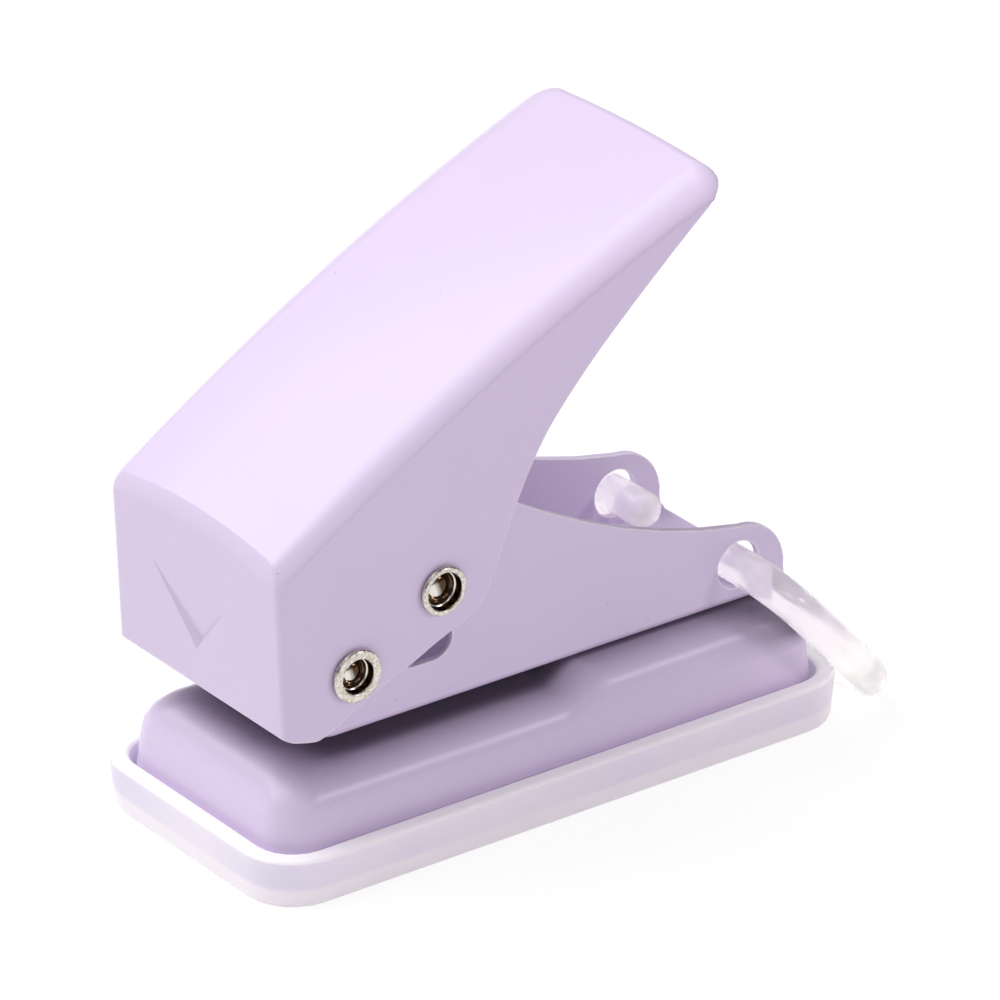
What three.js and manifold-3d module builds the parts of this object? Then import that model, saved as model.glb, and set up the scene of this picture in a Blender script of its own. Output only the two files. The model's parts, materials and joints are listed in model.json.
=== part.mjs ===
// Single hole punch with a raised lever, a chip tray and a hanging loop.
// Millimetres. X runs across the punch, -Y towards its nose, +Z up from the desk.
import * as THREE from 'three';
import { mergeVertices } from 'three/addons/utils/BufferGeometryUtils.js';
import { ConvexGeometry } from 'three/addons/geometries/ConvexGeometry.js';
import Module from 'manifold-3d';

const wasm = await Module();
wasm.setup();

// Chip tray, a soft plastic pan under the base
const tray_width = 36.2;
const tray_length = 78;
const tray_height = 5.84;
const tray_wall = 2.1;
const tray_floor = 1.2;
const tray_seat = 2.2;
const tray_ledge = 1.5;
const tray_draft = 0.4;
const tray_corner_radius = 6.5;
const tray_edge_radius = 0.6;
const grip_rib_width = 1.4;
const grip_rib_height = 2.4;
const grip_rib_gap = 0.08;
const grip_rib_inset = 11.9;

// Base, a drawn pan with a low front table and a raised rear table
const base_fit = 0.3;
const base_height = 13;
const base_sheet = 1;
const base_lean = 0.7;
const base_shoulder = 4.9;
const base_shoulder_drop = 4.4;
const base_corner_radius = 4.5;
const base_corner_share = 0.3;
const paper_gap = 2.25;
const paper_stop_y = 2.2;
const paper_stop_length = 3.6;

// Frame, a pressed channel with slots, a front lip and two ears
const frame_width = 23.2;
const frame_sheet = 1;
const frame_bend = 1.3;
const frame_rear = 33.9;
const frame_head_height = 22.2;
const frame_head_rear = -5;
const frame_lip_height = 3.8;
const frame_lip_radius = 2.4;
const frame_lip_gap = 0.7;
const frame_lip_relief = 0.3;
const pivot_cheek = 5.2;
const cheek_start = THREE.MathUtils.degToRad(130);
const cheek_end = THREE.MathUtils.degToRad(235);
const ear_radius = 5.9;
const ear_y = 27.4;
const ear_height = 3.4;
const ear_sweep_y = 11.2;
const ear_sweep_height = 11.9;
const ear_hole_radius = 2.8;
const ear_hole_y = 27;
const ear_hole_height = 4.7;
const collar_wall = 1;
const collar_height = 2.6;

// Lever linkage: fulcrum, arm to the drive tube and swing
const pivot_y = -27.33;
const pivot_height = 9.66;
const arm_length = 13;
const arm_angle = THREE.MathUtils.degToRad(31);
const lever_swing = THREE.MathUtils.degToRad(37);
const slot_clearance = 0.32;
const slot_corner = 2.4;

// Lever, a drawn cover that tapers to its handle
const lever_nose_width = 31.5;
const lever_tail_width = 33;
const lever_sheet = 1;
const lever_overhang = 9.5;
const lever_nose_lean = 0.8;
const lever_length = 58.3;
const lever_nose_height = 15.75;
const lever_tail_height = 46;
const lever_skirt_drop = 6.4;
const lever_arch = 1.9;
const lever_nose_crown = 1.8;
const lever_tail_crown = 0.7;
const lever_shoulder_drop = 2.1;
const lever_nose_reach = 2.2;
const lever_tail_reach = 4.6;
const lever_front_reach = 0.5;
const lever_rear_reach = 1.8;
const lever_nose_radius = 1.2;
const lever_tail_radius = 3;
const lever_corner_share = 0.5;

// Pointer pressed into the nose
const pointer_depth = 0.8;
const pointer_rise = 1.2;
const pointer_height = 7.8;
const pointer_left = 7.8;
const pointer_right = 5.6;
const pointer_tip_x = -0.4;
const pointer_tip_drop = 0.86;

// Semi-tubular rivets, hollow only at their rolled ends
const pivot_tube_radius = 2.4;
const pivot_flange_radius = 3.05;
const pivot_mouth_radius = 1.95;
const drive_tube_radius = 2.4;
const drive_flange_radius = 2.85;
const drive_mouth_radius = 2.15;
const flange_roll = 0.3;
const mouth_depth = 1.1;
const mouth_ledge = 0.18;
const dish_depth = 1.4;
const spacer_wall = 1.1;

// Punch pin and its return spring
const pin_radius = 3;
const pin_recess = 0.3;
const pin_head_radius = 5.3;
const pin_head_thickness = 1.4;
const pin_hollow = 0.7;
const pin_chamfer = 0.35;
const spring_wire_radius = 0.35;
const spring_turns = 3.5;

// Solid rivets between the frame and the base
const rivet_radius = 1.5;
const rivet_head_radius = 2.3;
const rivet_head_height = 0.9;
const rivet_crown_share = 0.7;
const rivet_rise_share = 0.85;
const rivet_front_y = 9;
const rivet_rear_y = 22;

// Loop
const loop_bar_radius = 2.1;
const loop_half_width = 18.4;
const loop_reach = 23.4;
const loop_corner = 6;
const loop_tip_x = 3.6;
const loop_droop = THREE.MathUtils.degToRad(48);

// Clearances and counts
const running_gap = 0.1;
const seat_gap = 0.05;
const side_gap = 0.3;
const head_gap = 0.12;
const overrun = 1;
const round_steps = 32;
const fillet_steps = 5;
const corner_steps = 6;
const curl_steps = 8;
const wire_sides = 5;
const loop_sides = 14;
const tip_steps = 4;
const stop_steps = 6;
const lever_steps = 8;
const lever_columns = 6;

// Places worked out from the sizes
const base_top = tray_seat + base_height;
const base_half_width = tray_width / 2 - tray_wall - base_fit;
const base_half_length = tray_length / 2 - tray_wall - base_fit;
const frame_half = frame_width / 2;
const lip_end = pivot_y + frame_lip_gap;
const lever_nose_half = lever_nose_width / 2;
const lever_tail_half = lever_tail_width / 2;
const drive_dy = arm_length * Math.cos(arm_angle);
const drive_dz = arm_length * Math.sin(arm_angle);
const drive_travel = drive_dz - arm_length * Math.sin(arm_angle - lever_swing);
const drive_low = drive_dz - drive_travel;
const drive_near = arm_length * Math.min(Math.cos(arm_angle), Math.cos(arm_angle - lever_swing));
const drive_far = arm_length;
const punch_y = pivot_y + (drive_near + drive_far) / 2;
const pin_head_top = pivot_height + drive_dz - drive_tube_radius - head_gap;
const guide_radius = pin_radius + running_gap;
const collar_radius = guide_radius + collar_wall;

// Turns a three.js geometry into a closed solid with outward faces.
function solid(geometry) {
  const bare = new THREE.BufferGeometry();
  bare.setAttribute('position', geometry.getAttribute('position'));
  bare.setIndex(geometry.getIndex());
  const merged = mergeVertices(bare, 1e-5);
  const index = merged.getIndex().array;
  const position = merged.getAttribute('position');
  const corner = [new THREE.Vector3(), new THREE.Vector3(), new THREE.Vector3()];
  const kept = [];
  let volume = 0;
  for (let i = 0; i < index.length; i += 3) {
    const [a, b, c] = [index[i], index[i + 1], index[i + 2]];
    if (a === b || b === c || c === a) continue;
    kept.push(a, b, c);
    corner[0].fromBufferAttribute(position, a);
    corner[1].fromBufferAttribute(position, b);
    corner[2].fromBufferAttribute(position, c);
    volume += corner[0].dot(corner[1].clone().cross(corner[2]));
  }
  if (volume < 0) kept.reverse();
  const mesh = new wasm.Mesh({
    numProp: 3,
    vertProperties: new Float32Array(position.array),
    triVerts: new Uint32Array(kept),
  });
  mesh.merge();
  return new wasm.Manifold(mesh);
}

// Turns a solid back into a geometry for a mesh.
function shapeOf(body) {
  const mesh = body.getMesh();
  const geometry = new THREE.BufferGeometry();
  const points = new Float32Array(mesh.numVert * 3);
  for (let i = 0; i < mesh.numVert; i += 1) {
    for (let k = 0; k < 3; k += 1) {
      points[3 * i + k] = mesh.vertProperties[mesh.numProp * i + k];
    }
  }
  geometry.setAttribute('position', new THREE.BufferAttribute(points, 3));
  geometry.setIndex(new THREE.BufferAttribute(new Uint32Array(mesh.triVerts), 1));
  const flat = geometry.toNonIndexed();
  flat.computeVertexNormals();
  return flat;
}

// Rows of a rounded rectangle seen from above: half width x at each y, front to rear.
function planRows(front, rear, stations) {
  const rows = [];
  const corner = (end, facing, i) => {
    const turn = (Math.PI / 2) * (i / corner_steps);
    const x = end.half - end.radius * (1 - Math.sin(turn));
    const y = end.y + facing * end.radius * (1 - Math.cos(turn));
    rows.push({ x, y });
  };
  const half = (y) => THREE.MathUtils.mapLinear(y, front.y, rear.y, front.half, rear.half);
  for (let i = 0; i <= corner_steps; i += 1) corner(front, 1, i);
  stations.forEach((y) => rows.push({ x: half(y), y }));
  for (let i = corner_steps; i >= 0; i -= 1) corner(rear, -1, i);
  return rows;
}

// A closed pressed form: rounded rectangles stacked level by level, with a surface for each level.
// A level gives its inset from the plan's sides, at the rear too where it differs, its insets from
// the front and rear ends where they differ, and the height of its points.
function pressedForm(plan, levels, columns) {
  const grid = levels.map((level) => {
    const { inset, rear_inset = inset, front = inset, rear = inset } = level;
    const { half, rear_half = half, radius, rear_radius = radius } = plan;
    const eased = (size, by) => Math.max(size - by * plan.radius_share, plan.least_radius);
    const rows = planRows(
      { y: plan.front + front, half: half - inset, radius: eased(radius, inset) },
      { y: plan.rear - rear, half: rear_half - rear_inset, radius: eased(rear_radius, rear_inset) },
      plan.stations,
    );
    return rows.map((row) => {
      const line = [];
      for (let c = 0; c <= columns; c += 1) {
        const x = row.x * (2 * c / columns - 1);
        line.push(new THREE.Vector3(x, row.y, level.height(x, row.y)));
      }
      return line;
    });
  });
  const rim = grid.map((rows) => {
    const last = rows.length - 1;
    const right = rows.slice(1, last).map((line) => line[columns]);
    const left = rows.slice(1, last).map((line) => line[0]).reverse();
    return [...rows[0], ...right, ...rows[last].slice().reverse(), ...left];
  });
  const points = [];
  const face = (a, b, c, d) => points.push(a, b, c, a, c, d);
  for (let k = 0; k + 1 < rim.length; k += 1) {
    const [low, high] = [rim[k], rim[k + 1]];
    low.forEach((point, j) => {
      const next = (j + 1) % low.length;
      face(point, low[next], high[next], high[j]);
    });
  }
  const top = grid[grid.length - 1];
  const bottom = grid[0];
  for (let i = 0; i + 1 < top.length; i += 1) {
    for (let c = 0; c < columns; c += 1) {
      face(top[i][c], top[i][c + 1], top[i + 1][c + 1], top[i + 1][c]);
      face(bottom[i][c], bottom[i + 1][c], bottom[i + 1][c + 1], bottom[i][c + 1]);
    }
  }
  return solid(new THREE.BufferGeometry().setFromPoints(points));
}

// Levels of a quarter round that draws a wall in to a table: inset and drop below the table.
function shoulderLevels(lean, reach, drop, surface) {
  const levels = [];
  for (let i = 0; i <= fillet_steps; i += 1) {
    const turn = (Math.PI / 2) * (i / fillet_steps);
    const inset = lean + reach * (1 - Math.cos(turn));
    const below = drop * (1 - Math.sin(turn));
    levels.push({ inset, height: (x, y) => surface(x, y) - below });
  }
  return levels;
}

// A profile drawn in Y and Z, extruded along X between two planes.
function plateAcross(profile, from, to) {
  const geometry = new THREE.ExtrudeGeometry(profile, {
    depth: to - from,
    bevelEnabled: false,
    curveSegments: corner_steps,
  });
  const upright = new THREE.Matrix4().makeBasis(
    new THREE.Vector3(0, 1, 0),
    new THREE.Vector3(0, 0, 1),
    new THREE.Vector3(1, 0, 0),
  );
  geometry.applyMatrix4(upright);
  geometry.translate(from, 0, 0);
  return solid(geometry);
}

// A round bar or hole along X.
function barAcross(radius, from, to, y, z) {
  const geometry = new THREE.CylinderGeometry(radius, radius, to - from, round_steps);
  geometry.rotateZ(Math.PI / 2);
  geometry.translate((from + to) / 2, y, z);
  return solid(geometry);
}

// A round bar or hole along Z.
function barUp(radius, from, to, y) {
  const geometry = new THREE.CylinderGeometry(radius, radius, to - from, round_steps);
  geometry.rotateX(Math.PI / 2);
  geometry.translate(0, y, (from + to) / 2);
  return solid(geometry);
}

// A profile of [radius, height] pairs turned about Z.
function turned(profile) {
  const outline = profile.map(([radius, height]) => new THREE.Vector2(radius, height));
  const geometry = new THREE.LatheGeometry(outline, round_steps);
  geometry.rotateX(Math.PI / 2);
  return solid(geometry);
}

// Chip tray: an open pan with a ledge for the base and small ribs that grip it
function chipTray() {
  const outer = {
    half: tray_width / 2,
    front: -tray_length / 2,
    rear: tray_length / 2,
    radius: tray_corner_radius,
    radius_share: 1,
    least_radius: tray_edge_radius,
    stations: [],
  };
  const at = (inset, z) => ({ inset, height: () => z });
  const body = pressedForm(outer, [
    at(tray_draft + tray_edge_radius, 0),
    at(tray_draft + tray_edge_radius * (1 - Math.SQRT1_2), tray_edge_radius * (1 - Math.SQRT1_2)),
    at(tray_draft, tray_edge_radius),
    at(0, tray_height - tray_edge_radius / 2),
    at(tray_edge_radius / 2, tray_height),
  ], 1);
  const mouth = pressedForm(outer, [
    at(tray_wall, tray_seat),
    at(tray_wall, tray_height - tray_edge_radius / 2),
    at(tray_wall - tray_edge_radius / 2, tray_height),
    at(tray_wall - tray_edge_radius / 2, tray_height + overrun),
  ], 1);
  const well = pressedForm(outer, [
    at(tray_wall + tray_ledge, tray_floor),
    at(tray_wall + tray_ledge, tray_seat + overrun),
  ], 1);
  let tray = body.subtract(mouth).subtract(well);
  const reach = base_fit - grip_rib_gap;
  const root = tray_wall / 2;
  const rib = (width, length, x, y) => {
    const geometry = new THREE.BoxGeometry(width, length, grip_rib_height);
    geometry.translate(x, y, tray_seat + grip_rib_height / 2);
    return solid(geometry);
  };
  const side_x = tray_width / 2 - tray_wall + (root - reach) / 2;
  const side_y = tray_length / 2 - grip_rib_inset;
  const end_x = tray_width / 2 - grip_rib_inset + tray_wall;
  const end_y = tray_length / 2 - tray_wall + (root - reach) / 2;
  for (const side of [-1, 1]) {
    for (const end of [-1, 1]) {
      tray = tray.add(rib(root + reach, grip_rib_width, side * side_x, end * side_y));
      tray = tray.add(rib(grip_rib_width, root + reach, side * end_x, end * end_y));
    }
  }
  return tray;
}

// Base: height of its table at a distance along Y, low for the paper and high under the frame
function tableHeight(y) {
  const half = paper_stop_length / 2;
  const share = THREE.MathUtils.smoothstep(y, paper_stop_y - half, paper_stop_y + half);
  return base_height - paper_gap * (1 - share);
}

function baseForm(inset, table, skirt) {
  const stations = [];
  for (let i = 0; i <= stop_steps; i += 1) {
    stations.push(paper_stop_y + paper_stop_length * (i / stop_steps - 1 / 2));
  }
  const plan = {
    half: base_half_width - inset,
    front: inset - base_half_length,
    rear: base_half_length - inset,
    radius: base_corner_radius - inset,
    radius_share: base_corner_share,
    least_radius: base_sheet,
    stations,
  };
  const levels = [{ inset: 0, height: () => skirt }];
  levels.push(...shoulderLevels(base_lean, base_shoulder, base_shoulder_drop, (x, y) => table(y)));
  return pressedForm(plan, levels, 1);
}

function basePlate() {
  const outer = baseForm(0, tableHeight, 0);
  const inner = baseForm(base_sheet, (y) => tableHeight(y) - base_sheet, -overrun);
  let base = outer.subtract(inner);
  base = base.subtract(barUp(guide_radius, base_height / 2, base_height + overrun, punch_y));
  for (const y of [rivet_front_y, rivet_rear_y]) {
    base = base.subtract(barUp(rivet_radius + running_gap, base_height / 2, base_height + overrun, y));
  }
  return base;
}

// Frame: outline of its side walls in Y and Z
function frameWallProfile() {
  const slope = new THREE.Vector2(Math.sin(cheek_start), -Math.cos(cheek_start));
  const cheek = new THREE.Vector2(
    pivot_y + pivot_cheek * Math.cos(cheek_start),
    pivot_height + pivot_cheek * Math.sin(cheek_start),
  );
  const rise = frame_head_height - slot_corner / 2 - cheek.y;
  const shoulder = new THREE.Vector2(cheek.x + rise * slope.x / slope.y, cheek.y + rise);
  const profile = new THREE.Shape();
  profile.moveTo(lip_end, frame_bend);
  profile.lineTo(frame_rear, frame_bend);
  profile.quadraticCurveTo(ear_y + ear_radius, frame_bend, ear_y + ear_radius, ear_height);
  profile.absarc(ear_y, ear_height, ear_radius, 0, Math.PI / 2, false);
  profile.quadraticCurveTo(ear_sweep_y, ear_sweep_height, frame_head_rear, frame_head_height);
  profile.lineTo(shoulder.x + slot_corner, frame_head_height);
  profile.quadraticCurveTo(shoulder.x + slot_corner / 2, frame_head_height, shoulder.x, shoulder.y);
  profile.lineTo(cheek.x, cheek.y);
  profile.absarc(pivot_y, pivot_height, pivot_cheek, cheek_start, cheek_end, false);
  profile.lineTo(lip_end, frame_lip_height - frame_sheet);
  profile.closePath();
  return profile;
}

// Frame: opening in its side walls for the drive tube
function slotProfile() {
  const half = (drive_far - drive_near) / 2 + drive_tube_radius + slot_clearance;
  const low = pivot_height + drive_low - drive_tube_radius - slot_clearance;
  const high = pivot_height + drive_dz + drive_tube_radius + slot_clearance;
  const r = slot_corner;
  const profile = new THREE.Shape();
  profile.moveTo(punch_y - half + r, low);
  profile.lineTo(punch_y + half - r, low);
  profile.absarc(punch_y + half - r, low + r, r, -Math.PI / 2, 0, false);
  profile.absarc(punch_y + half - r, high - r, r, 0, Math.PI / 2, false);
  profile.absarc(punch_y - half + r, high - r, r, Math.PI / 2, Math.PI, false);
  profile.absarc(punch_y - half + r, low + r, r, Math.PI, 1.5 * Math.PI, false);
  return profile;
}

function frameBracket() {
  const plan = {
    half: frame_half,
    front: lip_end - frame_lip_radius,
    rear: frame_rear + frame_lip_radius + overrun,
    radius: frame_lip_radius,
    radius_share: 1,
    least_radius: frame_bend / 2,
    stations: [],
  };
  const bend = (radius, floor, inset) => {
    const levels = [];
    for (let i = 0; i <= fillet_steps; i += 1) {
      const turn = (Math.PI / 2) * (i / fillet_steps);
      const reach = inset + radius * (1 - Math.sin(turn));
      const z = floor + radius * (1 - Math.cos(turn));
      levels.push({ inset: reach, height: () => z });
    }
    return levels;
  };
  const to = (z, inset) => ({ inset, height: () => z });
  const outer = pressedForm(plan, [...bend(frame_bend, 0, 0), to(frame_lip_height, 0)], 1);
  const inner = pressedForm(plan, [
    ...bend(frame_bend - frame_sheet, frame_sheet, frame_sheet),
    to(frame_lip_height + overrun, frame_sheet),
  ], 1);
  const ear_edge = new THREE.Shape();
  ear_edge.moveTo(frame_rear, -overrun);
  ear_edge.lineTo(frame_rear, frame_bend);
  ear_edge.quadraticCurveTo(ear_y + ear_radius, frame_bend, ear_y + ear_radius, ear_height);
  ear_edge.lineTo(ear_y + ear_radius, frame_lip_height + overrun);
  ear_edge.lineTo(frame_rear + 2 * frame_lip_radius, frame_lip_height + overrun);
  ear_edge.lineTo(frame_rear + 2 * frame_lip_radius, -overrun);
  ear_edge.closePath();
  const relief = new THREE.Shape();
  relief.moveTo(lip_end - frame_lip_relief, frame_bend);
  relief.lineTo(lip_end, frame_bend);
  relief.lineTo(lip_end, frame_lip_height + overrun);
  relief.lineTo(lip_end - frame_lip_relief, frame_lip_height + overrun);
  relief.closePath();
  let frame = outer.subtract(inner);
  frame = frame.subtract(plateAcross(relief, -frame_width, frame_width));
  frame = frame.subtract(plateAcross(ear_edge, -frame_width, frame_width));
  const wall = frameWallProfile();
  frame = frame.add(plateAcross(wall, frame_half - frame_sheet, frame_half));
  frame = frame.add(plateAcross(wall, -frame_half, frame_sheet - frame_half));
  frame = frame.add(barUp(collar_radius, 0, frame_sheet + collar_height, punch_y));
  frame = frame.subtract(plateAcross(slotProfile(), -frame_width, frame_width));
  frame = frame.subtract(
    barAcross(pivot_tube_radius + running_gap, -frame_width, frame_width, pivot_y, pivot_height),
  );
  frame = frame.subtract(
    barAcross(ear_hole_radius, -frame_width, frame_width, ear_hole_y, ear_hole_height),
  );
  frame = frame.subtract(barUp(guide_radius, -overrun, frame_sheet + collar_height + overrun, punch_y));
  for (const y of [rivet_front_y, rivet_rear_y]) {
    frame = frame.subtract(barUp(rivet_radius + running_gap, -overrun, frame_sheet + overrun, y));
  }
  return frame;
}

// Lever: height of its top above the pivot, arched along Y and crowned across X, most at the nose
function leverTop(x, y) {
  const along = (y + lever_overhang) / lever_length;
  const chord = lever_nose_height + (lever_tail_height - lever_nose_height) * along;
  const arch = 4 * lever_arch * along * (1 - along);
  const crown = THREE.MathUtils.lerp(lever_tail_crown, lever_nose_crown, (1 - along) ** 3);
  return chord + arch - crown * (x / lever_tail_half) ** 2;
}

// Lever: half its width at a distance along Y from the pivot
function leverHalf(y) {
  const along = (y + lever_overhang) / lever_length;
  return THREE.MathUtils.lerp(lever_nose_half, lever_tail_half, along);
}

// Shoulder of the lever, from its side wall to its top: shares of its reach inward and of its drop
const shoulder_shares = [
  [0, 1], [0.06, 0.78], [0.17, 0.55], [0.36, 0.34], [0.55, 0.17], [0.78, 0.04], [1, 0],
];

function leverForm(inset, lift) {
  const stations = [];
  for (let i = 1; i < lever_steps; i += 1) {
    stations.push(lever_length * (i / lever_steps) - lever_overhang);
  }
  const plan = {
    half: lever_nose_half - inset,
    rear_half: lever_tail_half - inset,
    front: inset - lever_overhang,
    rear: lever_length - lever_overhang - inset,
    radius: lever_nose_radius - inset,
    rear_radius: lever_tail_radius - inset,
    radius_share: lever_corner_share,
    least_radius: lever_sheet / 2,
    stations,
  };
  const floor = lever_skirt_drop + overrun + inset;
  const levels = [{ inset: 0, front: lever_nose_lean, height: () => -floor }];
  shoulder_shares.forEach(([inward, below]) => levels.push({
    inset: lever_nose_reach * inward,
    rear_inset: lever_tail_reach * inward,
    front: lever_front_reach * inward,
    rear: lever_rear_reach * inward,
    height: (x, y) => leverTop(x, y) - lift - lever_shoulder_drop * below,
  }));
  return pressedForm(plan, levels, lever_columns);
}

// Lower edge of the lever: shares of its length from the nose and of its height from the skirt
const skirt_shares = [
  [0, 0.025], [0.03, 0.011], [0.07, 0], [0.09, 0.001], [0.123, 0.017], [0.166, 0.043],
  [0.212, 0.07], [0.283, 0.102], [0.345, 0.135], [0.412, 0.168], [0.446, 0.196],
  [0.475, 0.262], [0.52, 0.386], [0.575, 0.502], [0.629, 0.581], [0.708, 0.675],
  [0.828, 0.799], [0.962, 0.928], [1.015, 0.965],
];

function leverSideProfile() {
  const height = lever_tail_height + lever_skirt_drop;
  const edge = skirt_shares.map(([along, up]) => new THREE.Vector2(
    along * lever_length - lever_overhang,
    up * height - lever_skirt_drop,
  ));
  const top = lever_tail_height + lever_arch + overrun;
  const profile = new THREE.Shape();
  profile.moveTo(-lever_overhang - overrun, edge[0].y);
  profile.lineTo(edge[0].x, edge[0].y);
  profile.splineThru(edge.slice(1));
  profile.lineTo(edge[edge.length - 1].x, top);
  profile.lineTo(-lever_overhang - overrun, top);
  profile.closePath();
  return profile;
}

// Front face of the nose at a height above the pivot
function noseFace(z) {
  const low = -lever_skirt_drop - overrun;
  const high = lever_nose_height - lever_shoulder_drop;
  return lever_nose_lean * (high - z) / (high - low) - lever_overhang;
}

// Pointer: a wedge that is deepest at its tip and runs out to nothing at its top
function pointerWedge(offset) {
  const tip = -pointer_tip_drop;
  const at = (x, depth, z) => new THREE.Vector3(x, noseFace(z) + offset + depth, z);
  const corners = [
    [pointer_tip_x, tip],
    [pointer_tip_x - pointer_left, tip + pointer_height],
    [pointer_tip_x + pointer_right, tip + pointer_height - pointer_rise],
  ];
  const points = [at(pointer_tip_x, pointer_depth, tip + pointer_rise)];
  for (const [x, z] of corners) {
    points.push(at(x, 0, z), at(x, -overrun, z));
  }
  return solid(new ConvexGeometry(points));
}

function leverCover() {
  const rivetHole = (radius, y, z) => (
    barAcross(radius + seat_gap, -lever_tail_width, lever_tail_width, y, z)
  );
  const lift = lever_sheet * Math.hypot(1, (lever_tail_height - lever_nose_height) / lever_length);
  const outer = leverForm(0, 0).subtract(pointerWedge(0));
  const inner = leverForm(lever_sheet, lift).subtract(pointerWedge(lever_sheet));
  let cover = outer.subtract(inner);
  cover = cover.intersect(plateAcross(leverSideProfile(), -lever_tail_width, lever_tail_width));
  cover = cover.subtract(rivetHole(pivot_tube_radius, 0, 0));
  cover = cover.subtract(rivetHole(drive_tube_radius, drive_dy, drive_dz));
  return cover;
}

// Semi-tubular rivet along X: each end has a rolled flange round a mouth with a dished bottom
function tubularRivet(tube, flange, mouth, y) {
  const face = leverHalf(y + flange) + seat_gap;
  const crest = face + 2 * flange_roll;
  const roll = (radius, from, to) => {
    const arc = [];
    for (let i = 0; i <= fillet_steps; i += 1) {
      const turn = from + (to - from) * (i / fillet_steps);
      arc.push([radius + flange_roll * Math.cos(turn), face + flange_roll * (1 + Math.sin(turn))]);
    }
    return arc;
  };
  const half = [
    [0, crest - mouth_depth - dish_depth],
    [mouth - mouth_ledge, crest - mouth_depth],
    [mouth, crest - mouth_depth],
    ...roll(mouth + flange_roll, Math.PI, Math.PI / 2),
    ...roll(flange - flange_roll, Math.PI / 2, -Math.PI / 2),
    [tube, face],
  ];
  const mirrored = half.map(([radius, along]) => [radius, -along]).reverse();
  const rivet = turned([...half, ...mirrored]);
  return rivet.rotate([0, 90, 0]);
}

// Sleeve on the pivot tube between the frame and the lever
function pivotSpacer() {
  const inner = pivot_tube_radius + seat_gap;
  const outer = inner + spacer_wall;
  const from = frame_half + running_gap;
  const to = leverHalf(-outer) - lever_sheet - seat_gap;
  const sleeve = turned([[inner, from], [outer, from], [outer, to], [inner, to], [inner, from]]);
  return sleeve.rotate([0, 90, 0]);
}

// Punch pin: hollow-ground tip, straight shank and flat head
function punchPin() {
  const top = pin_head_top - pin_recess;
  const under = top - pin_head_thickness;
  return turned([
    [0, pin_hollow],
    [pin_radius, 0],
    [pin_radius, under],
    [pin_head_radius - pin_chamfer, under],
    [pin_head_radius, under + pin_chamfer],
    [pin_head_radius, top - pin_chamfer],
    [pin_head_radius - pin_chamfer, top],
    [0, top],
  ]);
}

// Return spring: one wire wound between the frame's floor and the pin's head
function returnSpring() {
  const low = frame_sheet + seat_gap + spring_wire_radius;
  const high = pin_head_top - pin_head_thickness - seat_gap - spring_wire_radius;
  const coil = collar_radius + side_gap + spring_wire_radius;
  const count = Math.round(spring_turns * curl_steps);
  const centre = [];
  for (let i = 0; i <= count; i += 1) {
    const turn = (2 * Math.PI * i) / curl_steps;
    const z = low + (high - low) * (i / count);
    centre.push(new THREE.Vector3(coil * Math.cos(turn), coil * Math.sin(turn), z));
  }
  const lead = (from, next) => {
    const way = from.clone().sub(next).setZ(0).normalize();
    return from.clone().addScaledVector(way, 2 * spring_wire_radius);
  };
  centre.unshift(lead(centre[0], centre[1]));
  centre.push(lead(centre[centre.length - 1], centre[centre.length - 2]));
  const rings = centre.map((point, i) => {
    const before = centre[Math.max(i - 1, 0)];
    const after = centre[Math.min(i + 1, centre.length - 1)];
    const along = after.clone().sub(before).normalize();
    const out = new THREE.Vector3(point.x, point.y, 0).normalize();
    out.addScaledVector(along, -out.dot(along)).normalize();
    const side = along.clone().cross(out);
    const ring = [];
    for (let k = 0; k < wire_sides; k += 1) {
      const turn = (2 * Math.PI * k) / wire_sides;
      ring.push(point.clone()
        .addScaledVector(out, spring_wire_radius * Math.cos(turn))
        .addScaledVector(side, spring_wire_radius * Math.sin(turn)));
    }
    return ring;
  });
  const points = [];
  for (let i = 0; i + 1 < rings.length; i += 1) {
    for (let k = 0; k < wire_sides; k += 1) {
      const n = (k + 1) % wire_sides;
      points.push(rings[i][k], rings[i][n], rings[i + 1][n]);
      points.push(rings[i][k], rings[i + 1][n], rings[i + 1][k]);
    }
  }
  const last = rings[rings.length - 1];
  for (let k = 1; k + 1 < wire_sides; k += 1) {
    points.push(rings[0][0], rings[0][k + 1], rings[0][k]);
    points.push(last[0], last[k], last[k + 1]);
  }
  let least = Infinity;
  rings.forEach((ring, i) => {
    rings.slice(i + curl_steps / 2).forEach((other) => {
      ring.forEach((a) => other.forEach((b) => {
        least = Math.min(least, a.distanceTo(b));
      }));
    });
  });
  console.log(`return_spring least gap to itself ${least.toFixed(2)} mm`);
  return solid(new THREE.BufferGeometry().setFromPoints(points));
}

// Solid rivet with a low head above and a clinched tail below
function frameRivet() {
  const head = frame_sheet;
  const tail = -base_sheet;
  const dome = rivet_head_height;
  return turned([
    [0, tail - dome],
    [rivet_head_radius * rivet_crown_share, tail - dome],
    [rivet_head_radius, tail - dome / 2],
    [rivet_head_radius, tail],
    [rivet_radius, tail],
    [rivet_radius, head],
    [rivet_head_radius, head],
    [rivet_head_radius, head + dome / 3],
    [rivet_head_radius * rivet_crown_share, head + dome * rivet_rise_share],
    [0, head + dome],
  ]);
}

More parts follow.
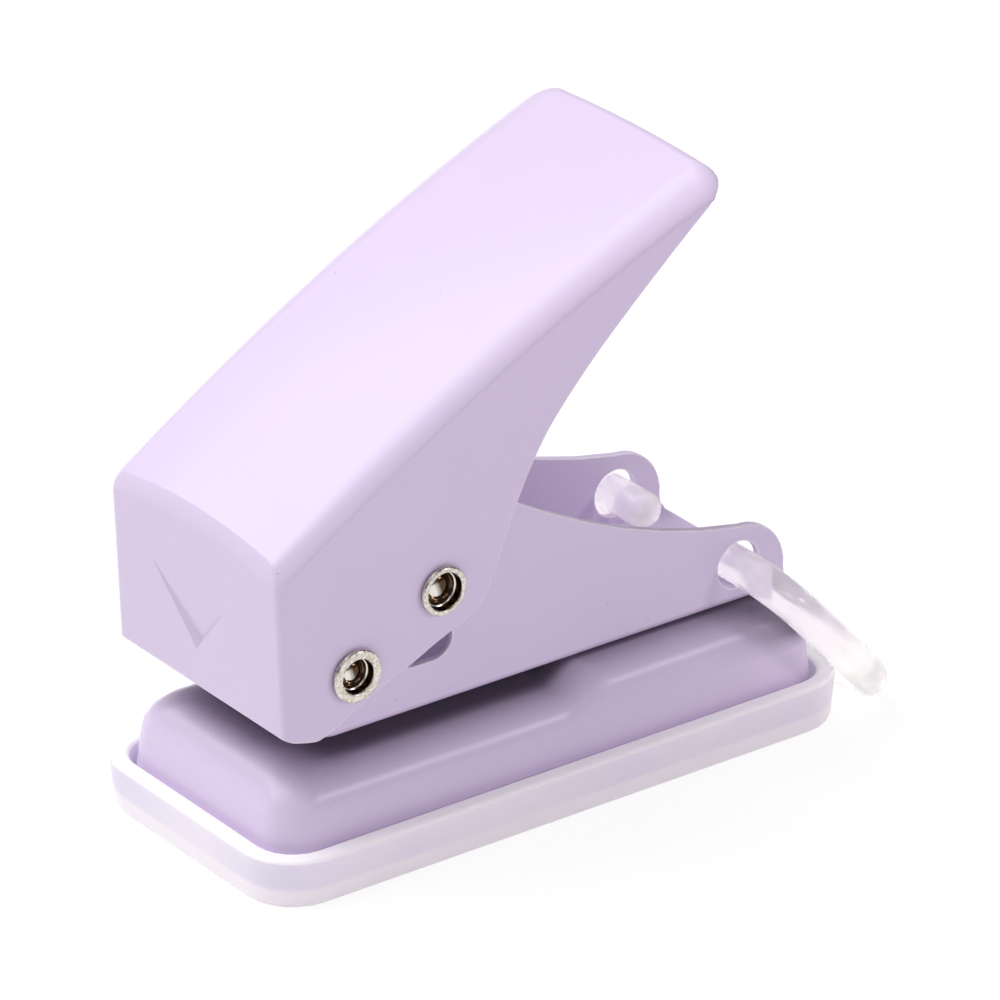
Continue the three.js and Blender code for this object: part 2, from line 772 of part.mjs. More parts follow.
// Loop: route of a bent bar whose ends turn in through the ears, in X and its reach from the ears
function loopRoute() {
  const turn_in = loop_half_width - loop_corner;
  const quarter = Math.PI / 2;
  const at = (x, reach) => new THREE.Vector3(x, reach, 0);
  const corner = (x, reach, from, to) => {
    const arc = [];
    for (let i = 0; i <= 2 * corner_steps; i += 1) {
      const turn = from + (to - from) * (i / (2 * corner_steps));
      arc.push(at(x + loop_corner * Math.cos(turn), reach + loop_corner * Math.sin(turn)));
    }
    return arc;
  };
  return [
    at(-loop_tip_x - loop_bar_radius, 0),
    ...corner(-turn_in, loop_corner, -quarter, -2 * quarter),
    ...corner(-turn_in, loop_reach - loop_corner, 2 * quarter, quarter),
    ...corner(turn_in, loop_reach - loop_corner, quarter, 0),
    ...corner(turn_in, loop_corner, 0, -quarter),
    at(loop_tip_x + loop_bar_radius, 0),
  ];
}

// Loop: round sections along its route, closed by a rounded tip at each end
function loopRing() {
  const route = loopRoute();
  const rings = [];
  const section = (point, along, radius, shift) => {
    const side = new THREE.Vector3(-along.y, along.x, 0);
    const up = new THREE.Vector3(0, 0, 1);
    const centre = point.clone().addScaledVector(along, shift);
    const ring = [];
    for (let k = 0; k < loop_sides; k += 1) {
      const turn = (2 * Math.PI * k) / loop_sides;
      ring.push(centre.clone()
        .addScaledVector(side, radius * Math.cos(turn))
        .addScaledVector(up, radius * Math.sin(turn)));
    }
    return ring;
  };
  const last = route.length - 1;
  const way = (i) => {
    const before = route[Math.max(i - 1, 0)];
    const after = route[Math.min(i + 1, last)];
    return after.clone().sub(before).normalize();
  };
  const tip = (i, end, facing) => {
    const turn = (Math.PI / 2) * (i / tip_steps);
    const shift = facing * loop_bar_radius * Math.cos(turn);
    rings.push(section(route[end], way(end), loop_bar_radius * Math.sin(turn), shift));
  };
  for (let i = 0; i < tip_steps; i += 1) tip(i, 0, -1);
  route.forEach((point, i) => rings.push(section(point, way(i), loop_bar_radius, 0)));
  for (let i = tip_steps - 1; i >= 0; i -= 1) tip(i, last, 1);
  const points = [];
  for (let i = 0; i + 1 < rings.length; i += 1) {
    for (let k = 0; k < loop_sides; k += 1) {
      const n = (k + 1) % loop_sides;
      points.push(rings[i][k], rings[i][n], rings[i + 1][n]);
      points.push(rings[i][k], rings[i + 1][n], rings[i + 1][k]);
    }
  }
  return solid(new THREE.BufferGeometry().setFromPoints(points));
}

// Finishes
const lilac = { color: 0xcfbfda, roughness: 0.28, metalness: 0.05 };
const frosted = { color: 0xe4e0ea, roughness: 0.5, metalness: 0 };
const clear = { color: 0xeeeae6, roughness: 0.35, metalness: 0 };
const nickel = { color: 0xc9c4ba, roughness: 0.3, metalness: 0.95 };
const steel = { color: 0x9c9ea3, roughness: 0.35, metalness: 0.9 };

function piece(name, body, finish) {
  const mesh = new THREE.Mesh(shapeOf(body), new THREE.MeshStandardMaterial(finish));
  mesh.name = name;
  return mesh;
}

const punch = new THREE.Group();
punch.add(piece('chip_tray', chipTray(), frosted));

const base = new THREE.Group();
base.position.z = tray_seat;
base.add(piece('base_plate', basePlate(), lilac));
punch.add(base);

const frame = new THREE.Group();
frame.position.z = base_top;
frame.add(piece('frame', frameBracket(), lilac));
punch.add(frame);

for (const [name, y] of [['frame_rivet_front', rivet_front_y], ['frame_rivet_rear', rivet_rear_y]]) {
  const rivet = piece(name, frameRivet(), steel);
  rivet.position.y = y;
  frame.add(rivet);
}

const pin = piece('punch_pin', punchPin(), steel);
pin.position.set(0, punch_y, pin_recess);
frame.add(pin);

const spring = piece('return_spring', returnSpring(), steel);
spring.position.y = punch_y;
frame.add(spring);

const lever = new THREE.Group();
lever.position.set(0, pivot_y, pivot_height);
lever.add(piece('lever', leverCover(), lilac));
frame.add(lever);

lever.add(piece(
  'pivot_rivet',
  tubularRivet(pivot_tube_radius, pivot_flange_radius, pivot_mouth_radius, 0),
  nickel,
));

const drive = piece(
  'drive_rivet',
  tubularRivet(drive_tube_radius, drive_flange_radius, drive_mouth_radius, drive_dy),
  nickel,
);
drive.position.set(0, drive_dy, drive_dz);
lever.add(drive);

const spacer_right = piece('pivot_spacer_right', pivotSpacer(), steel);
lever.add(spacer_right);
const spacer_left = piece('pivot_spacer_left', pivotSpacer(), steel);
spacer_left.rotation.z = Math.PI;
lever.add(spacer_left);

const loop = piece('loop_ring', loopRing(), clear);
loop.position.set(0, ear_hole_y, ear_hole_height);
loop.rotation.x = -loop_droop;
frame.add(loop);

export default punch;
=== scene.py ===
import json
import math

import bpy
import bmesh
from mathutils import Matrix, Vector

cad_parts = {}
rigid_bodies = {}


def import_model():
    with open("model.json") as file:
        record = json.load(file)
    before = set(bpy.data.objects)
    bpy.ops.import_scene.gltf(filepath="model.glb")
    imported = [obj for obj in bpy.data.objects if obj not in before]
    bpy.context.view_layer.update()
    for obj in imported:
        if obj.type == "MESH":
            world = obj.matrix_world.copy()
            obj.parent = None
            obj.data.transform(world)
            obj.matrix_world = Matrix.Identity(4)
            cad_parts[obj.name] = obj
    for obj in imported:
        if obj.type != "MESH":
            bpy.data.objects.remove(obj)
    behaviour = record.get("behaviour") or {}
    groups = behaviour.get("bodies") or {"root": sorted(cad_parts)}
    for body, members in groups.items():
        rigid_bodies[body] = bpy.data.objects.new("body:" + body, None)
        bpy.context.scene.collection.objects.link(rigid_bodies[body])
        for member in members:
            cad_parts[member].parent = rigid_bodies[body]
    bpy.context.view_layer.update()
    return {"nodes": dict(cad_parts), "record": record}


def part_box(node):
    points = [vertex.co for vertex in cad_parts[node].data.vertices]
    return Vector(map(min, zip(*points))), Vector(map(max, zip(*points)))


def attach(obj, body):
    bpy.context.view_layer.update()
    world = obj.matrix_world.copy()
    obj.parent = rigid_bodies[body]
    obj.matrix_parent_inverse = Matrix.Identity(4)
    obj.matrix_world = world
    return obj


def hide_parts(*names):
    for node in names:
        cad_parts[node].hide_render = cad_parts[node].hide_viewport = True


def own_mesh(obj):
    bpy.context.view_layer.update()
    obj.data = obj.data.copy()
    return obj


for old in list(bpy.data.objects):
    bpy.data.objects.remove(old)

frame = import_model()
nodes = frame["nodes"]
scene = bpy.context.scene
MM = 0.001
WHITE = (1.0, 1.0, 1.0)
WHITE_RGBA = (1.0, 1.0, 1.0, 1.0)


# Camera, at the photograph's angle
camera_data = bpy.data.cameras.new("camera")
camera_data.lens = 288.0
camera_data.sensor_width = 36.0
camera_data.clip_start = 0.05
camera_data.clip_end = 20.0
camera = bpy.data.objects.new("camera", camera_data)
camera.matrix_world = Matrix((
    (0.5948228, -0.3523877, 0.7225018, 0.6234093),
    (0.8038569, 0.2607531, -0.5346232, -0.4580493),
    (0.0, 0.8987940, 0.4383711, 0.4083728),
    (0.0, 0.0, 0.0, 1.0),
))
scene.collection.objects.link(camera)
scene.camera = camera
scene.view_settings.view_transform = "Standard"


# Node helpers. A socket takes either a value or another node's output
def feed(tree, socket, value):
    if isinstance(value, bpy.types.NodeSocket):
        tree.links.new(value, socket)
    else:
        socket.default_value = value


def add(tree, kind, sockets=None, **settings):
    node = tree.nodes.new(kind)
    for name, value in settings.items():
        setattr(node, name, value)
    for name, value in (sockets or {}).items():
        feed(tree, node.inputs[name], value)
    return node


def new_material(name):
    material = bpy.data.materials.new(name)
    material.use_nodes = True
    tree = material.node_tree
    tree.nodes.clear()
    return material, tree


def surface(tree, shader, kind="ShaderNodeOutputMaterial"):
    add(tree, kind, {"Surface": shader})


def srgb(r, g, b):
    def linear(c):
        c = c / 255.0
        return c / 12.92 if c <= 0.04045 else ((c + 0.055) / 1.055) ** 2.4
    return (linear(r), linear(g), linear(b), 1.0)


def place(tree):
    return add(tree, "ShaderNodeTexCoord").outputs["Object"]


def height_of(tree, where):
    return add(tree, "ShaderNodeSeparateXYZ", {"Vector": where}).outputs["Z"]


def attribute(tree, name):
    return add(tree, "ShaderNodeAttribute", attribute_name=name).outputs["Fac"]


def noise(tree, where, scale, detail=2.0, rough=0.5):
    return add(tree, "ShaderNodeTexNoise", {
        "Scale": scale, "Detail": detail, "Roughness": rough, "Vector": where,
    }).outputs["Fac"]


def span(tree, value, low, high, out_low=0.0, out_high=1.0):
    return add(tree, "ShaderNodeMapRange", {
        "From Min": low, "From Max": high, "To Min": out_low, "To Max": out_high,
        "Value": value,
    }).outputs["Result"]


def maths(tree, operation, a, b):
    return add(tree, "ShaderNodeMath", {0: a, 1: b}, operation=operation).outputs["Value"]


def mix_colour(tree, share, a, b):
    return add(tree, "ShaderNodeMix", {0: share, 6: a, 7: b}, data_type="RGBA").outputs[2]


def mix_shader(tree, share, a, b):
    return add(tree, "ShaderNodeMixShader", {0: share, 1: a, 2: b}).outputs["Shader"]


def bump(tree, height, distance, before=None):
    sockets = {"Strength": 1.0, "Distance": distance, "Height": height}
    if before is not None:
        sockets["Normal"] = before
    return add(tree, "ShaderNodeBump", sockets).outputs["Normal"]


def principled(tree, sockets):
    surface(tree, add(tree, "ShaderNodeBsdfPrincipled", sockets).outputs["BSDF"])


# Glossy enamel with orange peel, dust specks, a painted lighter top, thin paint and a painted
# highlight along the sheet edges and, where its crevice shade is above 0, painted crevice shade
def enamel(name, painted_crevice_shade):
    material, tree = new_material(name)
    where = place(tree)
    height = height_of(tree, where)
    cloud = noise(tree, where, 60.0, 3.0)
    colour = mix_colour(tree, cloud, srgb(224, 208, 237), srgb(228, 213, 241))

    # Painted light: the paint turns lighter and pinker towards the top of the lever, for the
    # light on its upper sides
    upper = span(tree, height, 26.0 * MM, 62.0 * MM)
    colour = mix_colour(tree, upper, colour, srgb(229, 212, 241))

    # Along the sheet edges the paint is lighter and uneven: partly thin paint, partly a painted
    # highlight line
    patchy = span(tree, noise(tree, where, 700.0), 0.3, 0.7, 0.45, 0.95)
    edge_paint_and_highlight = maths(tree, "MULTIPLY", attribute(tree, "sheet_edge"), patchy)
    colour = mix_colour(tree, edge_paint_and_highlight, colour, srgb(252, 246, 253))

    # Dust specks in about a fifth of the cells
    cells = add(tree, "ShaderNodeTexVoronoi", {"Scale": 330.0, "Vector": where})
    speck = span(tree, cells.outputs["Distance"], 0.018, 0.036, 1.0, 0.0)
    pick = add(tree, "ShaderNodeSeparateColor", {"Color": cells.outputs["Color"]})
    chosen = span(tree, pick.outputs["Red"], 0.80, 0.82, 0.0, 0.75)
    specks = maths(tree, "MULTIPLY", speck, chosen)
    colour = mix_colour(tree, specks, colour, srgb(132, 116, 148))

    # Painted shade: the paint darkens where the surface is closely covered, as under the frame
    # and the lever, but not where the base's foot stands in the tray
    if painted_crevice_shade > 0.0:
        reach = add(tree, "ShaderNodeAmbientOcclusion", {"Distance": 9.0 * MM}, samples=8)
        closed = span(tree, reach.outputs["AO"], 0.38, 0.98, painted_crevice_shade, 0.0)
        above_foot = span(tree, height, 9.5 * MM, 11.5 * MM)
        painted_shade_share = maths(tree, "MULTIPLY", closed, above_foot)
        colour = mix_colour(tree, painted_shade_share, colour, srgb(58, 50, 68))

    peel = bump(tree, noise(tree, where, 520.0), 0.012 * MM)
    principled(tree, {
        "Base Color": colour,
        "Roughness": span(tree, noise(tree, where, 240.0), 0.3, 0.7, 0.30, 0.36),
        "IOR": 1.5,
        "Specular IOR Level": 0.3,
        "Coat Weight": 0.08,
        "Coat Roughness": 0.12,
        "Normal": bump(tree, noise(tree, where, 2600.0), 0.002 * MM, peel),
    })
    return material


# Frosted soft plastic of the tray: clearer at the wall, milky at its thick floor and rim, with a
# faint painted glow
def frosted():
    material, tree = new_material("frosted_plastic")
    where = place(tree)
    height = height_of(tree, where)
    cloud = span(tree, noise(tree, where, 45.0, 3.0), 0.35, 0.65)
    colour = mix_colour(tree, cloud, srgb(226, 222, 238), srgb(238, 232, 241))
    floor_share = span(tree, height, 1.9 * MM, 2.5 * MM, 1.0, 0.0)
    colour = mix_colour(tree, floor_share, colour, srgb(245, 239, 245))
    rim_share = span(tree, height, 5.3 * MM, 5.7 * MM)
    colour = mix_colour(tree, rim_share, colour, srgb(250, 246, 250))
    principled(tree, {
        "Base Color": colour,
        "Roughness": 0.42,
        "IOR": 1.46,
        # Painted light: a faint glow stands in for light shining through the plastic
        "Emission Color": (1.0, 0.95, 1.0, 1.0),
        "Emission Strength": 0.11,
        "Transmission Weight": 0.06,
        "Subsurface Weight": 0.5,
        "Subsurface Radius": (1.0, 0.95, 1.0),
        "Subsurface Scale": 1.2 * MM,
        "Normal": bump(tree, noise(tree, where, 1500.0, 3.0), 0.008 * MM),
    })
    return material


# Clear plastic of the loop, slightly milky, with painted light that makes it paler towards its
# low end, flow marks and a faint painted glow
def clear_plastic():
    material, tree = new_material("clear_plastic")
    where = place(tree)
    cloud = span(tree, noise(tree, where, 160.0, 3.0), 0.35, 0.65)
    upper = mix_colour(tree, cloud, srgb(234, 228, 238), srgb(245, 241, 246))
    lower = mix_colour(tree, cloud, srgb(252, 248, 247), srgb(255, 253, 250))
    # Painted light: paler towards the low end
    upper_share = span(tree, height_of(tree, where), 6.0 * MM, 17.0 * MM)
    principled(tree, {
        "Base Color": mix_colour(tree, upper_share, lower, upper),
        "Roughness": 0.12,
        "IOR": 1.38,
        # Painted light: a faint glow stands in for light shining through the plastic
        "Emission Color": (1.0, 0.97, 0.98, 1.0),
        "Emission Strength": 0.11,
        "Transmission Weight": 0.68,
        "Subsurface Weight": 0.6,
        "Subsurface Radius": WHITE,
        "Subsurface Scale": 1.2 * MM,
        "Normal": bump(tree, noise(tree, where, 420.0, 3.0), 0.05 * MM),
    })
    return material


# How dark the parts of a tubular rivet are painted, in its bore attribute: the darkness of the
# bore and the dome is painted shade
FLANGE, LEDGE, DOME, BORE = 0.0, 0.4, 0.5, 1.0


# Plated rivets: grainy flange, smooth bright ledge and dome, with painted shade in the bore and
# on the dome's rear
def nickel():
    material, tree = new_material("nickel_plate")
    where = place(tree)
    bore = attribute(tree, "bore")
    grain = span(tree, noise(tree, where, 2400.0, 4.0, 0.75), 0.36, 0.64)
    colour = mix_colour(tree, grain, srgb(176, 167, 155), srgb(240, 236, 228))
    smooth = span(tree, bore, FLANGE, DOME)
    colour = mix_colour(tree, smooth, colour, srgb(226, 221, 213))
    # Painted shade: the bore, and the dome towards its rear and top, are painted dark brown
    colour = mix_colour(tree, span(tree, bore, DOME, BORE), colour, srgb(82, 62, 46))
    grainy_rough = span(tree, grain, 0.0, 1.0, 0.2, 0.38)
    smoother = span(tree, smooth, 0.0, 1.0, 1.0, 0.45)
    principled(tree, {
        "Base Color": colour,
        "Metallic": 1.0,
        "Roughness": maths(tree, "MULTIPLY", grainy_rough, smoother),
        "Normal": bump(tree, noise(tree, where, 3200.0, 3.0, 0.7), 0.01 * MM),
    })
    return material


# Bare steel with turning marks
def steel():
    material, tree = new_material("tool_steel")
    stretch = add(tree, "ShaderNodeMapping", {"Scale": (1.0, 1.0, 14.0), "Vector": place(tree)})
    marks = noise(tree, stretch.outputs["Vector"], 500.0, 3.0, 0.6)
    principled(tree, {
        "Base Color": mix_colour(tree, marks, srgb(168, 168, 172), srgb(205, 205, 208)),
        "Metallic": 1.0,
        "Roughness": span(tree, marks, 0.3, 0.7, 0.24, 0.38),
        "Normal": bump(tree, marks, 0.004 * MM),
    })
    return material


looks = {
    "lilac_paint": enamel("lilac_enamel", 0.0),
    "frosted_tray": frosted(),
    "clear_loop": clear_plastic(),
    "nickel": nickel(),
    "tool_steel": steel(),
}
# The base's enamel has painted shade in its crevices
base_look_painted_shade = enamel("lilac_enamel_base_painted_shade", 0.86)
slot_of = {row["node"]: row["material_slot"] for row in frame["record"]["subparts"]}
body_of = {
    member: body
    for body, members in frame["record"]["behaviour"]["bodies"].items()
    for member in members
}
for name, node in nodes.items():
    for index in range(len(node.data.materials)):
        node.data.materials[index] = looks[slot_of[name]]


# Pieces that stand for CAD nodes
def finish_piece(name, mesh, node):
    piece = bpy.data.objects.new(name, mesh)
    scene.collection.objects.link(piece)
    mesh.materials.clear()
    mesh.materials.append(base_look_painted_shade if node == "base_plate" else looks[slot_of[node]])
    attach(piece, body_of[node])
    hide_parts(node)
    return piece


def finish_bmesh(name, bm, node):
    mesh = bpy.data.meshes.new(name)
    bm.to_mesh(mesh)
    bm.free()
    return finish_piece(name, mesh, node)


def apply_modifiers(piece):
    bpy.context.view_layer.update()
    graph = bpy.context.evaluated_depsgraph_get()
    done = bpy.data.meshes.new_from_object(
        piece.evaluated_get(graph), preserve_all_data_layers=True, depsgraph=graph)
    piece.modifiers.clear()
    piece.data = done


WELD = 0.02 * MM
FLAT_ANGLE = math.radians(0.3)
SHARP_ANGLE = math.radians(35.0)
EASE_SEGMENTS = 2


# A node's own shape with eased edges and smooth shading. shift moves its points, and
# the edges that soft picks out are left as they are
def dressed(node, ease, shift=None, soft=None):
    bm = bmesh.new()
    bm.from_mesh(nodes[node].data)
    bmesh.ops.remove_doubles(bm, verts=bm.verts, dist=WELD)
    if shift:
        for vert in bm.verts:
            vert.co += shift(vert.co)
    bmesh.ops.dissolve_limit(bm, angle_limit=FLAT_ANGLE, verts=bm.verts, edges=bm.edges)
    on_edge = bm.faces.layers.float.new("sheet_edge")
    sharp = [
        edge for edge in bm.edges
        if edge.calc_face_angle(0.0) > SHARP_ANGLE and not (soft and soft(edge))
    ]
    made = bmesh.ops.bevel(
        bm, geom=sharp, offset=ease, offset_type="OFFSET", segments=EASE_SEGMENTS,
        profile=0.5, affect="EDGES", clamp_overlap=False)
    for face in made["faces"]:
        face[on_edge] = 1.0
    for face in bm.faces:
        face.smooth = True
    piece = finish_bmesh(node + "_dressed", bm, node)
    weights = piece.modifiers.new("weights", "WEIGHTED_NORMAL")
    weights.mode = "FACE_AREA_WITH_ANGLE"
    weights.keep_sharp = False
    apply_modifiers(piece)


LATHE_SIDES = 96
ON_AXIS = 1e-9


# A profile of (radius, height) pairs in metres, turned about an axis. shades holds one
# value of the bore attribute for each step of the profile, and the last argument works out the
# dome's value, its painted shade
def lathe(name, node, profile, matrix, shades, painted_dome_shade):
    bm = bmesh.new()
    bore = bm.faces.layers.float.new("bore")
    rings = []
    for radius, height in profile:
        if radius < ON_AXIS:
            rings.append([bm.verts.new(matrix @ Vector((0.0, 0.0, height)))])
            continue
        ring = []
        for k in range(LATHE_SIDES):
            turn = 2.0 * math.pi * k / LATHE_SIDES
            point = Vector((radius * math.cos(turn), radius * math.sin(turn), height))
            ring.append(bm.verts.new(matrix @ point))
        rings.append(ring)
    for low, high, shade in zip(rings, rings[1:], shades):
        for k in range(LATHE_SIDES):
            n = (k + 1) % LATHE_SIDES
            if len(low) == 1:
                face = bm.faces.new((low[0], high[n], high[k]))
            elif len(high) == 1:
                face = bm.faces.new((low[k], low[n], high[0]))
            else:
                face = bm.faces.new((low[k], low[n], high[n], high[k]))
            face[bore] = painted_dome_shade(face.calc_center_median()) if shade == DOME else shade
    bmesh.ops.recalc_face_normals(bm, faces=bm.faces)
    for face in bm.faces:
        face.smooth = face[bore] != LEDGE
    finish_bmesh(name, bm, node)


# Lengths of both tubular rivets, in mm
RIVET_TUBE = 2.4
RIVET_ROLL = 0.3
RIVET_DEPTH = 1.0
RIVET_LEDGE = 0.2
RIVET_GROOVE = 0.7
RIVET_STEPS = 10

# The painted shade on a rivet's dome: its direction along Y and Z, how far before the axis it
# starts and over what width it deepens, in mm
DOME_SHADE_REAR = 0.95
DOME_SHADE_UP = 0.3
DOME_SHADE_START = 0.6
DOME_SHADE_WIDTH = 0.7


# Tubular rivet along X: rolled flange, mouth with a narrow ledge, groove and a low dome
# inside. mouth is the mouth's radius and lip that of its rounded edge, in mm
def rivet(name, node, mouth, lip):
    low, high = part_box(node)
    centre = (low + high) / 2
    crest = high.x / MM
    flange = (high.z - low.z) / 2 / MM
    back = crest - 2.0 * RIVET_ROLL
    level = crest - RIVET_DEPTH
    inner = mouth - RIVET_LEDGE
    taper, corner, chamfer, groove_in, dome_in, dome_up = 0.04, 0.12, 0.1, 0.15, 0.35, 0.1

    # One half of the profile, from the tube's outside to the dome's middle
    half = [(RIVET_TUBE, back)]
    for i in range(RIVET_STEPS + 1):
        turn = math.pi * (i / RIVET_STEPS - 0.5)
        half.append((
            flange - RIVET_ROLL + RIVET_ROLL * math.cos(turn),
            back + RIVET_ROLL * (1.0 + math.sin(turn))))
    for i in range(RIVET_STEPS + 1):
        turn = math.pi * (0.5 + 0.5 * i / RIVET_STEPS)
        half.append((mouth + lip + lip * math.cos(turn), crest - lip + lip * math.sin(turn)))
    wall = len(half) - 1
    half.append((mouth - taper, level + corner))
    half.append((mouth - corner, level))
    half.append((inner, level))
    half.append((inner - chamfer, level - chamfer))
    half.append((inner - groove_in, level - RIVET_GROOVE))
    dome = len(half)
    for i in range(RIVET_STEPS + 1):
        turn = math.pi * 0.5 * i / RIVET_STEPS
        half.append((
            (inner - dome_in) * math.cos(turn),
            level - RIVET_GROOVE * (1.0 - math.sin(turn)) + dome_up))
    half[-1] = (0.0, half[-1][1])

    shades = [
        FLANGE if i < wall else BORE if i < dome else DOME for i in range(len(half) - 1)]
    shades[wall + 2] = shades[wall + 3] = LEDGE
    profile = [(radius, -along) for radius, along in reversed(half)] + half
    profile = [(radius * MM, along * MM) for radius, along in profile]
    matrix = Matrix.Translation(centre) @ Matrix.Rotation(math.radians(90.0), 4, "Y")

    # Painted shade: the dome is painted darker towards the rear and the top
    def painted_dome_shade(point):
        away = (point.y - centre.y) * DOME_SHADE_REAR + (point.z - centre.z) * DOME_SHADE_UP
        share = min(max((away + DOME_SHADE_START * MM) / (DOME_SHADE_WIDTH * MM), 0.0), 1.0)
        return DOME + (BORE - DOME) * share

    lathe(name, node, profile, matrix, shades[::-1] + [FLANGE] + shades, painted_dome_shade)


CAP_STEPS = 6
CAP_START = 0.35


# A round tube along points, with rounded ends
def tube(name, node, points, radius, sides):
    bm = bmesh.new()
    last = len(points) - 1
    ways = [
        (points[min(i + 1, last)] - points[max(i - 1, 0)]).normalized()
        for i in range(last + 1)
    ]
    side = ways[0].orthogonal().normalized()
    rings = []

    def ring(centre, along, size):
        out = (side - along * side.dot(along)).normalized()
        up = along.cross(out)
        turns = (2.0 * math.pi * k / sides for k in range(sides))
        return [
            bm.verts.new(centre + (out * math.cos(turn) + up * math.sin(turn)) * size)
            for turn in turns
        ]

    def cap_ring(end, along, step):
        turn = math.pi * 0.5 * (step + CAP_START) / (CAP_STEPS + CAP_START)
        beyond = end + along * radius * math.cos(turn)
        return beyond, radius * math.sin(turn)

    for step in range(CAP_STEPS):
        centre, size = cap_ring(points[0], -ways[0], step)
        rings.append(ring(centre, ways[0], size))
    for point, along in zip(points, ways):
        side = (side - along * side.dot(along)).normalized()
        rings.append(ring(point, along, radius))
    for step in reversed(range(CAP_STEPS)):
        centre, size = cap_ring(points[-1], ways[-1], step)
        rings.append(ring(centre, ways[-1], size))
    for low, high in zip(rings, rings[1:]):
        for k in range(sides):
            n = (k + 1) % sides
            bm.faces.new((low[k], low[n], high[n], high[k]))
    bm.faces.new(rings[0])
    bm.faces.new(rings[-1])
    bmesh.ops.recalc_face_normals(bm, faces=bm.faces)
    for face in bm.faces:
        face.smooth = True
    return finish_bmesh(name, bm, node)


# The base's step, in mm. Between its two limits along Y, points move back by STEP_SHIFT
# at its foot and by STEP_STRETCH more at its top, from STEP_STRAIGHT outwards on each side
STEP_LIMITS = (0.3, 4.1)
STEP_FOOT = 0.4
STEP_LENGTH = 3.6
STEP_STRAIGHT = 8.5
STEP_TURN = 6.0
STEP_SHIFT = 0.7
STEP_STRETCH = 2.7


# Base: its step lengthens and runs back towards the sides, round the raised table's
# corners
def step_fan(point):
    if not STEP_LIMITS[0] * MM < point.y < STEP_LIMITS[1] * MM:
        return Vector((0.0, 0.0, 0.0))
    share = (abs(point.x) - STEP_STRAIGHT * MM) / (STEP_TURN * MM)
    share = min(max(share, 0.0), 1.0)
    share = share * share * (3.0 - 2.0 * share)
    along = (point.y - STEP_FOOT * MM) / (STEP_LENGTH * MM)
    return Vector((0.0, share * (STEP_SHIFT + STEP_STRETCH * along) * MM, 0.0))


# Where the pointer lies on the lever's nose, in mm
POINTER_HALF_WIDTH = 8.0
POINTER_DEPTH = 4.0
POINTER_HEIGHTS = (21.0, 33.0)


# Lever: the edges of the pointer that is pressed into its nose
def pointer_edge(edge):
    low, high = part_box("lever")
    middle = (edge.verts[0].co + edge.verts[1].co) / 2.0
    return (
        abs(middle.x) < POINTER_HALF_WIDTH * MM
        and middle.y < low.y + POINTER_DEPTH * MM
        and POINTER_HEIGHTS[0] * MM < middle.z < POINTER_HEIGHTS[1] * MM)


# How far the edges are eased
SHEET_EASE = 0.16 * MM
BASE_EASE = 0.14 * MM
TRAY_EASE = 0.12 * MM
SMALL_EASE = 0.08 * MM

dressed("lever", SHEET_EASE, soft=pointer_edge)
dressed("frame", SHEET_EASE)
dressed("base_plate", BASE_EASE, shift=step_fan)
dressed("chip_tray", TRAY_EASE)
dressed("punch_pin", SMALL_EASE)
for node in ("frame_rivet_front", "frame_rivet_rear", "pivot_spacer_left", "pivot_spacer_right"):
    dressed(node, SMALL_EASE)

rivet("pivot_tubular", "pivot_rivet", mouth=1.95, lip=0.22)
rivet("drive_tubular", "drive_rivet", mouth=2.15, lip=0.18)


# Loop: a bent bar whose ends turn in through the ears. Lengths are in mm
LOOP_HALF_WIDTH = 18.4
LOOP_REACH = 23.4
LOOP_CORNER = 6.0
LOOP_TIP = 5.7
LOOP_BAR = 2.1
LOOP_DROOP = math.radians(48.0)
LOOP_SIDES = 40
ARC_STEPS = 16


def loop_points():
    turn_in = LOOP_HALF_WIDTH - LOOP_CORNER
    far = LOOP_REACH - LOOP_CORNER
    halfway = LOOP_TIP * 0.5 + turn_in * 0.5
    points = [(-LOOP_TIP, 0.0), (-halfway, 0.0)]

    def arc(x, y, first, last):
        for i in range(ARC_STEPS + 1):
            turn = math.radians(first + (last - first) * i / ARC_STEPS)
            points.append((x + LOOP_CORNER * math.cos(turn), y + LOOP_CORNER * math.sin(turn)))

    arc(-turn_in, LOOP_CORNER, -90.0, -180.0)
    arc(-turn_in, far, 180.0, 90.0)
    points.append((0.0, LOOP_REACH))
    arc(turn_in, far, 90.0, 0.0)
    arc(turn_in, LOOP_CORNER, 0.0, -90.0)
    points.extend([(halfway, 0.0), (LOOP_TIP, 0.0)])
    low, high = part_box("loop_ring")
    bar = LOOP_BAR * MM
    return [Vector((
        x * MM,
        low.y + bar + out * MM * math.cos(LOOP_DROOP),
        high.z - bar - out * MM * math.sin(LOOP_DROOP),
    )) for x, out in points]


tube("loop_bar", "loop_ring", loop_points(), LOOP_BAR * MM, LOOP_SIDES)


# Return spring round the punch pin. Lengths are in mm
SPRING_COIL = 4.75
SPRING_END = 0.35
SPRING_WIRE = 0.34
SPRING_TURNS = 3.5
SPRING_POINTS = 140
SPRING_SIDES = 14


def spring_points():
    low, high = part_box("return_spring")
    middle = sum(corner.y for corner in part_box("punch_pin")) / 2
    coil = SPRING_COIL * MM
    end = SPRING_END * MM
    points = []
    for i in range(SPRING_POINTS + 1):
        turn = 2.0 * math.pi * SPRING_TURNS * i / SPRING_POINTS
        z = low.z + end + (high.z - low.z - 2.0 * end) * i / SPRING_POINTS
        points.append(Vector((coil * math.cos(turn), middle + coil * math.sin(turn), z)))
    return points


# The spring gets a mesh of its own; nothing here shortens it as the pin goes down
spring = tube("spring_wire", "return_spring", spring_points(), SPRING_WIRE * MM, SPRING_SIDES)
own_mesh(spring)


# 1 for the named kinds of ray, 0 for the others
def seen_by(tree, *rays):
    path = add(tree, "ShaderNodeLightPath")
    seen = path.outputs[rays[0]]
    for ray in rays[1:]:
        seen = maths(tree, "MAXIMUM", seen, path.outputs[ray])
    return seen


